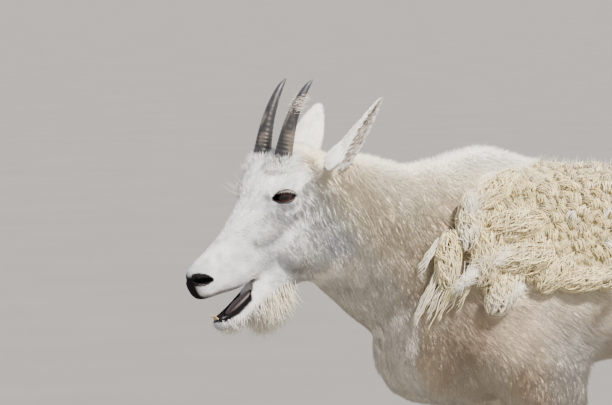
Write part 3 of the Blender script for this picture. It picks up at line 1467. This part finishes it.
def horn_root_hairs(line, count, dark, draws):
    """White fur that leans up against a horn, or the dark bristles at its root."""
    turn = draws.uniform(0, 2 * math.pi, count)
    high = draws.uniform(12, 30, count) if dark else draws.uniform(-6, 24, count)
    place = line[np.clip(high.astype(int), 0, HORN_SAMPLES - 1)]
    ring = level_ring(turn)
    out = draws.uniform(13, 16, count) if dark else draws.uniform(14, 24, count)
    root = place + ring * out[:, None] - np.array([0, 0, 6.0])
    depth = flesh_field(root)
    seated = (depth > -14) & (depth < (12 if dark else -1))
    root, ring, count = root[seated], ring[seated], int(seated.sum())
    way = unit(np.array([0.12, 0, 1.0]) + ring * (0.1 if dark else 0.45) + draws.normal(0, 0.2, (count, 3)))
    length = draws.uniform(7, 14, count) if dark else draws.uniform(10, 17, count)
    paths = fur_paths(root, ring, way, length, np.full(count, 0.1))
    wide = draws.uniform(0.6, 1.1, count)
    tint = (rgb(60, 56, 58) if dark else WHITE) * draws.normal(1.0, 0.08, (count, 1))
    return paths, np.stack([wide, wide * 0.7], 1), ring, tint, root


def caught_wool(line, draws):
    """A little shed wool, caught two thirds of the way up a horn."""
    count = 260
    t = draws.normal(0.66, 0.045, count).clip(0.56, 0.78)
    middle = line[(t * (HORN_SAMPLES - 1)).astype(int)]
    turn = draws.uniform(0, 2 * math.pi, count)
    ring = level_ring(turn)
    after = LEVEL_HEAD[1][0] * -np.sin(turn)[:, None] + LEVEL_HEAD[1][1] * np.cos(turn)[:, None]
    radius = HORN_BASE_RADIUS * (1 - t) ** 0.62 * (1 - 0.12 * t) + draws.uniform(0.2, 2.2, count)
    start = middle + ring * radius[:, None]
    reach = draws.uniform(5, 15, (count, 1))
    lift = draws.normal(0, 0.35, (count, 3))
    half_way = start + (after + lift * 0.5) * reach * 0.5
    end = half_way + (after * 0.5 + ring * 0.35 + lift) * reach * 0.6
    wide = draws.uniform(0.35, 0.8, count)
    tint = rgb(238, 226, 214) * draws.normal(1.0, 0.06, (count, 1))
    return np.stack([start, half_way, end], 1), np.stack([wide, wide * 0.7], 1), ring, tint, start


def add_horn_tufts(side, name):
    draws = np.random.default_rng(83 + side)
    line = horn_line(side)
    parts = [horn_root_hairs(line, 1500, False, draws), horn_root_hairs(line, 260, True, draws)]
    if side > 0:
        parts.append(caught_wool(line, draws))
    add_bundles(name, fur_material, parts, 0.6, (0.85, 1.05))


def add_brow_hairs():
    """A few long stray hairs that stand out in front of the forehead."""
    draws = np.random.default_rng(89)
    count, rings = 16, 7
    root = at(HEAD, draws.uniform(14, 40, count), draws.uniform(-16, 12, count), np.full(count, 30.0))
    t = np.linspace(0, 1, rings)
    way = unit(HEAD[1][0] * 0.5 + HEAD[1][2] * 0.85 + draws.normal(0, 0.1, (count, 3)))
    length = draws.uniform(22, 44, count)
    paths = straight(root, way, length, t)
    curl = unit(-HEAD[1][0] + np.array([0, 0, 0.6]) + draws.normal(0, 0.4, (count, 3)))
    paths = paths + curl[:, None] * (length[:, None] * 0.22 * t**2)[..., None]
    widths = 0.5 * np.array([1, 1, 0.9, 0.8, 0.7, 0.5])
    add_strands("brow_hairs", fur_material, paths, widths, HEAD[1][1], rgb(232, 214, 204), root, 0.8)


horn_look = painted_material("horn", (120, 6), (0, 1, 0.4, 1.5), (120, 6, 0.35, 0.0015), Roughness=0.42)
add_horn_tufts(1, "horn_left_tufts")
add_horn_tufts(-1, "horn_right_tufts")
add_brow_hairs()
add_horn(1, "horn_left_sheath", horn_look)
add_horn(-1, "horn_right_sheath", horn_look)


# Ears

# The root, and the ways the ears and their openings face, in the level head's frame
EAR_ROOT = (-84, 46, 52)
EAR_WAYS = {1: (-0.5, 0.44, 0.75), -1: (-0.62, 0.45, 0.64)}
EAR_OPENING = (-0.42, 0.62, -0.5)
# Share of the length, half the arc across, radius of the cup
EAR_ROWS = [
    [-0.16, 26, 17],
    [0, 36, 20],
    [0.14, 43, 24],
    [0.32, 39, 28],
    [0.5, 32, 30],
    [0.68, 23, 31],
    [0.84, 13.5, 32],
    [0.95, 6, 32],
    [1, 1.8, 32],
]


def ear_frame(side):
    forward, left, up = LEVEL_HEAD[1]
    f, l, u = EAR_WAYS[side]
    along = unit(f * forward + l * side * left + u * up)
    opening = EAR_OPENING[0] * forward + EAR_OPENING[1] * side * left + EAR_OPENING[2] * up
    opening = unit(opening - along * (opening @ along))
    root = at(LEVEL_HEAD, EAR_ROOT[0], side * EAR_ROOT[1], EAR_ROOT[2])
    return root, along, opening, np.cross(along, opening)


def ear_point(side, share, v, inward=0.0):
    """A place on the ear: share of its length, v from -1 to 1 across, inward from the outer face."""
    root, along, opening, across = ear_frame(side)
    half, cup = read(smooth_table(EAR_ROWS), share)
    angle = v * half / cup
    radius = cup - inward
    out = cup - 4 - radius * np.cos(angle)
    centre = root + np.asarray(share)[:, None] * EAR_LENGTH * along
    return centre + across * (radius * np.sin(angle))[:, None] + opening * out[:, None]


def shell_quads(rows, columns):
    """An outer and an inner sheet of points, joined along both sides and at the tip."""
    n = rows * columns
    i, j = np.meshgrid(np.arange(rows - 1), np.arange(columns - 1), indexing="ij")
    a = (i * columns + j).ravel()
    sheet = np.stack([a, a + 1, a + columns + 1, a + columns], -1)
    edge = []
    for k in range(rows - 1):
        p, q = k * columns, (k + 1) * columns
        edge.append([p, q, q + n, p + n])
        p, q = p + columns - 1, q + columns - 1
        edge.append([q, p, p + n, q + n])
    for k in range(columns - 1):
        p = (rows - 1) * columns + k
        edge.append([p, p + 1, p + 1 + n, p + n])
    return np.concatenate([sheet, sheet[:, ::-1] + n, np.array(edge)])


def add_ear(side, name):
    rows, columns = 48, 24
    share = np.repeat(np.linspace(-0.02, 1, rows), columns)
    v = np.tile(np.linspace(-1, 1, columns), rows)
    taper = 1 - np.abs(v) ** 4
    outer = ear_point(side, share, v, 0.8)
    inner = ear_point(side, share, v, 0.8 + EAR_THICKNESS * (0.3 + 0.5 * taper))
    quads = shell_quads(rows, columns)
    if side > 0:
        quads = quads[:, ::-1]
    white = mix(WHITE, CREAM, np.full(len(v), 0.3))
    inside = mix(rgb(150, 132, 120), rgb(214, 204, 192), smoothstep(np.abs(v), 0.7, 1))
    colour = np.concatenate([white, inside])
    piece = make_mesh(name, np.concatenate([outer, inner]), quads, skin_material, colour)
    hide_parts(name.replace("_leaf", ""))


def add_ear_coat(side, name):
    """Short fur on the back of the ear, thick and longer round its root."""
    draws = np.random.default_rng(93 + side)
    count = 5200
    top = np.where(draws.random(count) < 0.5, 0.25, 0.93)
    share = draws.uniform(-0.02, top, count)
    v = draws.uniform(-1, 1, count)
    _, along, opening, across = ear_frame(side)
    root = ear_point(side, share, v, 0.6)
    low = 1 - smoothstep(share, 0.0, 0.4)
    normal = unit(across * (v * 0.9)[:, None] - opening * np.sqrt(1.05 - v * v * 0.9)[:, None])
    way = unit(along + across * (v * 0.1 * low)[:, None] + draws.normal(0, 0.12, (count, 3)))
    length = draws.uniform(6, 9, count) + draws.uniform(4, 12, count) * low
    length = length * np.interp(share, [0.7, 0.95], [1.0, 0.6])
    paths = fur_paths(root, normal, lay(way, normal), length, 0.14 + 0.2 * low, 2)
    wide = draws.uniform(0.8, 1.5, (count, 1))
    tint = mix(WHITE, COOL, draws.uniform(0, 1, count) * (0.3 + 0.7 * low))
    tint = tint * draws.normal(1.0, 0.05, (count, 1))
    add_strands(name, fur_material, paths, wide, normal, tint, root, 0.6, (0.8, 1.05))


def add_ear_ruff(side, name):
    """Fur of the head that grows up round the root of the ear."""
    draws = np.random.default_rng(95 + side)
    count = 1700
    middle, along, _, _ = ear_frame(side)
    weight = smoothstep(30 - np.linalg.norm(tri_middle - middle, axis=1), 0, 12)
    root, normal = scatter(count, weight, draws)
    way = lay(along + draws.normal(0, 0.2, (count, 3)), normal)
    length = draws.uniform(12, 21, count)
    paths = fur_paths(root, normal, way, length, draws.uniform(0.4, 0.8, count), 3)
    wide = draws.uniform(0.8, 1.4, (count, 1)) * np.array([1.0, 0.8])
    tint = markings(root) * draws.normal(1.0, 0.06, (count, 1))
    add_strands(name, fur_material, paths, wide, normal, tint, root, 0.6, (0.85, 1.06))


def ear_hairs(side, count, kind, draws):
    """Hairs on the outer face of an ear, inside it or along its edges."""
    _, along, opening, across = ear_frame(side)
    inner = kind == "inside"
    share = draws.uniform(-0.05, 0.97, count)
    v = draws.uniform(-1, 1, count)
    if kind == "edge":
        v = np.sign(v) * draws.uniform(0.9, 1, count)
    root = ear_point(side, share, v, EAR_THICKNESS if inner else 1.2)
    centre_line = ear_point(side, share, np.zeros(count), 14.0)
    normal = unit(root - centre_line) * (-1 if inner else 1)
    way = along + draws.normal(0, 0.16, (count, 3))
    if inner:
        way = way - across * (v * 0.8)[:, None]
    if kind == "edge":
        way = way * 0.8 + across * (np.sign(v) * 0.5)[:, None] + opening * 0.1
    length = draws.uniform(7, 12, count) * np.interp(share, [0, 0.8, 1], [1.1, 1, 0.7])
    length = length * (1.6 if inner else 1)
    stand = np.full(count, 0.02 if kind == "edge" else 0.18)
    paths = fur_paths(root, normal, lay(way, normal), length, stand)
    wide = draws.uniform(0.9, 1.5, count)
    tint = WHITE
    if inner:
        pale = smoothstep(np.abs(v) + draws.normal(0, 0.25, count), 0.3, 1)
        tint = mix(rgb(150, 134, 122), rgb(226, 218, 208), pale)
    tint = tint * draws.normal(1.0, 0.07, (count, 1))
    return paths, np.stack([wide, wide * 0.7], 1), normal, tint, root


def add_ear_hair(side, name):
    draws = np.random.default_rng(67 + side)
    kinds = ((2600, "outside"), (1100, "inside"), (500, "edge"))
    add_bundles(name, fur_material, [ear_hairs(side, count, kind, draws) for count, kind in kinds])


for side, word in ((1, "left"), (-1, "right")):
    add_ear(side, f"ear_{word}_leaf")
    add_ear_hair(side, f"ear_{word}_hair")
    add_ear_coat(side, f"ear_{word}_coat")
    add_ear_ruff(side, f"ear_{word}_ruff")


# Eyes and lids


# Radius of the iris as an angle, and the half length and half height of the level pupil
IRIS_ANGLE = 0.74
PUPIL = (6.8, 3.2)


def add_eye(eye, name, material):
    """A ball with a slight bulge in front: dark pupil lying level, brown iris, dark rim."""
    rings, sides = 70, 72
    theta = np.linspace(0.004, 2.0, rings)
    angle = np.linspace(0, 2 * math.pi, sides, endpoint=False)
    sin, cos = np.sin(theta)[:, None], np.cos(theta)[:, None]
    x, y, z = sin * np.cos(angle), sin * np.sin(angle), cos * np.ones(sides)
    bulge = 1 + 0.05 * np.clip(1 - theta / 0.62, 0, 1)[:, None] ** 0.7
    shape = np.stack([x, y, z], -1) * (EYE_RADIUS - 0.2) * bulge[..., None]
    flat = shape.reshape(-1, 3)
    points = eye["centre"] + flat @ eye["axes"]
    quads = tube_quads(rings, sides)
    if eye["side"] > 0:
        quads = quads[:, ::-1]
    r = np.repeat(theta, sides) / IRIS_ANGLE
    px, py = flat[:, 0] / PUPIL[0], flat[:, 1] / PUPIL[1]
    pupil = smoothstep(1 - (np.abs(px) ** 3 + np.abs(py) ** 3) ** (1 / 3), -0.1, 0.12)
    iris = smoothstep(1 - r, 0, 0.08)
    fibre = 0.75 + 0.25 * np.sin(np.tile(angle, rings) * 40)
    lit = iris * (0.35 + 0.65 * smoothstep(-flat[:, 1], -3, 5))
    colour = mix(rgb(18, 12, 12), rgb(70, 33, 26), lit)
    colour *= (1 - iris * 0.3 * (1 - fibre))[:, None]
    colour = mix(colour, rgb(8, 7, 9), pupil)
    piece = make_mesh(name, points, quads, material, colour, "eye")
    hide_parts(name.replace("_ball", ""))


def add_lid_rim(eye, name, material):
    """The dark wet edge of the lids, all round the opening."""
    count, sides = 96, 8
    turn = np.linspace(0, 2 * math.pi, count, endpoint=False)
    x = np.cos(turn) * (EYE_LENGTH / 2 - 0.4)
    upper, lower = almond(x)
    y = np.where(np.sin(turn) >= 0, upper, lower)
    radius = EYE_RADIUS + 1.1
    z = np.sqrt(np.maximum(radius**2 - x * x - y * y, 4))
    line = eye["centre"] + np.stack([x, y, z], -1) @ eye["axes"]
    outward = unit(line - eye["centre"])
    nearby = unit(np.roll(line, -1, 0) - np.roll(line, 1, 0))
    across = unit(np.cross(nearby, outward))
    wide = 1.9 + 1.5 * smoothstep(-x, 8, 18) + 0.7 * (np.sin(turn) > 0)
    angle = np.linspace(0, 2 * math.pi, sides, endpoint=False)
    ring = across[:, None] * (np.cos(angle)[:, None] * wide[:, None, None])
    ring = ring + outward[:, None] * np.sin(angle)[:, None] * 1.2
    points = (line[:, None] + ring).reshape(-1, 3)
    i, j = np.meshgrid(np.arange(count), np.arange(sides), indexing="ij")
    here, ahead = i * sides, (i + 1) % count * sides
    near, far = j, (j + 1) % sides
    quads = np.stack([here + near, here + far, ahead + far, ahead + near], -1).reshape(-1, 4)
    colour = np.tile(rgb(26, 22, 26), (len(points), 1))
    make_mesh(name, points, quads, material, colour, "mouth")


def add_lashes(eye, name):
    """Pale lashes that slope down from the upper lid."""
    draws = np.random.default_rng(71)
    count = 160
    x = draws.uniform(-9, 15, count)
    upper, _ = almond(x)
    z = np.sqrt((EYE_RADIUS + 2.4) ** 2 - x * x - upper * upper)
    root = eye["centre"] + np.stack([x, upper + 0.6, z], -1) @ eye["axes"]
    level, upright, outward = eye["axes"]
    way = unit(outward * 0.9 - upright * 0.2 + level * (x / 40)[:, None] + draws.normal(0, 0.1, (count, 3)))
    length = draws.uniform(5, 9, count)
    t = np.linspace(0, 1, 4)
    paths = straight(root, way, length, t) - upright * (length[:, None] * 0.35 * t**2)[..., None]
    add_strands(name, fur_material, paths, [0.5, 0.45, 0.3], upright, rgb(196, 188, 180), root, 0.8)


wet_inputs = {"Specular_IOR_Level": 0.25, "Coat_Weight": 0.2, "Coat_Roughness": 0.02}
eye_look = painted_material("eye", (700, 4), (0, 1, 0.5, 1.5), Roughness=0.06, **wet_inputs)
wet_look = coat_material("wet_skin", 300, 0.2, 0.2, Roughness=0.5)
for eye, word in zip(EYES, ("left", "right")):
    add_eye(eye, f"eye_{word}_ball", eye_look)
    add_lid_rim(eye, f"lid_{word}_rim", wet_look)
    add_lashes(eye, f"lashes_{word}")


# Tongue and the carried-over teeth and hooves


def add_tongue():
    rings, sides = 24, 20
    t = np.linspace(-0.96, 0.96, rings)
    centre = at(HEAD, 140 + 31 * t, 0 * t, -108 - 1.5 * t)
    radii = np.sqrt(1 - t * t)
    angle = np.linspace(0, 2 * math.pi, sides, endpoint=False)
    groove = 1 - 0.22 * np.exp(-((angle - math.pi / 2) ** 2) / 0.06)
    wide = radii[:, None] * np.cos(angle) * 11
    high = radii[:, None] * np.sin(angle) * 6.5 * groove
    points = centre[:, None] + wide[..., None] * HEAD[1][1] + high[..., None] * HEAD[1][2]
    quads = tube_quads(rings, sides)[:, [0, 3, 2, 1]]
    colour = np.tile(rgb(36, 22, 23), (rings * sides, 1))
    piece = make_mesh("tongue_top", points.reshape(-1, 3), quads, wet_look, colour, "mouth")
    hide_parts("tongue")


add_tongue()


def plain_noise_material(name, low, high, scale, roughness, bump):
    """Noise between two colours, and a bump from the same noise."""
    material, nodes, links, shader = new_material(name, Roughness=roughness)
    speckle = add_noise(nodes, links, scale, 6)
    ramp = add_node(nodes, "ShaderNodeValToRGB")
    for stop, colour, position in zip(ramp.color_ramp.elements, (low, high), (0.35, 0.7)):
        stop.color = (*colour, 1)
        stop.position = position
    links.new(speckle, ramp.inputs["Fac"])
    links.new(ramp.outputs["Color"], shader.inputs["Base Color"])
    add_bump(nodes, links, shader, speckle, bump, 0.001)
    return material


hoof_look = plain_noise_material("hoof", rgb(38, 34, 32), rgb(86, 76, 68), 90, 0.55, 0.4)
tooth_look = plain_noise_material("tooth", rgb(150, 122, 84), rgb(222, 206, 168), 220, 0.35, 0.2)
# Material and bevel of the solids that are kept as they are, by the start of their names
KEPT_SOLIDS = {"hoof": (hoof_look, 0.002), "lower_incisors": (tooth_look, 0.0004)}
for start, (look, bevel_width) in KEPT_SOLIDS.items():
    for name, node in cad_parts.items():
        if not name.startswith(start):
            continue
        node.data.materials.clear()
        node.data.materials.append(look)
        bevel = node.modifiers.new("soft_edges", "BEVEL")
        bevel.width = bevel_width
        bevel.segments = 3
        bevel.limit_method = "ANGLE"


# Floor, light and camera


# Metres the floor reaches to each side, towards the camera and away from it
FLOOR_SIDE, FLOOR_NEAR, FLOOR_FAR = 60, 30, 400
# The sun's strength, its width in the sky, where it stands, what it shines on and its colour
SUN_ENERGY = 10.5
SUN_ANGLE = math.radians(6)
SUN_PLACE = np.array([2.0, -3.1, 4.7])
SUN_TARGET = np.array([0, 0, 0.5])
SUN_COLOUR = (1.0, 0.95, 0.86)
SKY_COLOUR = (0.84, 0.86, 0.92, 1)
SKY_STRENGTH = 1.2
# The photograph's camera. The middle of its frame is in the animal's millimetres.
CAMERA_AZIMUTH, CAMERA_ELEVATION = -11.0, 3.0
CAMERA_DISTANCE = 8.0
SENSOR_WIDTH = 36
PHOTO_WIDTH = 612
MM_PER_PIXEL = 1.6
FRAME_MIDDLE = np.array([-294.8, -60.0, 725.6])


def add_floor():
    me = bpy.data.meshes.new("floor")
    near = [(-FLOOR_SIDE, -FLOOR_NEAR, 0), (FLOOR_SIDE, -FLOOR_NEAR, 0)]
    far = [(FLOOR_SIDE, FLOOR_FAR, 0), (-FLOOR_SIDE, FLOOR_FAR, 0)]
    me.from_pydata(near + far, [], [(0, 1, 2, 3)])
    look = plain_noise_material("floor", (0.17, 0.162, 0.15), (0.185, 0.177, 0.163), 2, 0.9, 0.05)
    me.materials.append(look)
    link("floor", me)


def aim(thing, place, way):
    thing.location = place
    thing.rotation_mode = "QUATERNION"
    thing.rotation_quaternion = Vector(way).to_track_quat("-Z", "Y")


def add_light():
    sun = bpy.data.lights.new("sun", "SUN")
    sun.energy = SUN_ENERGY
    sun.color = SUN_COLOUR
    sun.angle = SUN_ANGLE
    aim(link("sun", sun), SUN_PLACE, SUN_TARGET - SUN_PLACE)
    world = bpy.data.worlds.new("studio")
    bpy.context.scene.world = world
    world.use_nodes = True
    set_inputs(world.node_tree.nodes["Background"], {"Color": SKY_COLOUR, "Strength": SKY_STRENGTH})


def add_camera():
    a, e = math.radians(CAMERA_AZIMUTH), math.radians(CAMERA_ELEVATION)
    back = np.array([math.sin(a) * math.cos(e), -math.cos(a) * math.cos(e), math.sin(e)])
    target = (FRAME_MIDDLE + SHIFT) / 1000
    camera = bpy.data.cameras.new("camera")
    camera.sensor_width = SENSOR_WIDTH
    camera.lens = SENSOR_WIDTH * CAMERA_DISTANCE / (PHOTO_WIDTH * MM_PER_PIXEL / 1000)
    camera.clip_end = 600
    holder = link("camera", camera)
    aim(holder, target + back * CAMERA_DISTANCE, -back)
    bpy.context.scene.camera = holder


add_floor()
add_light()
add_camera()
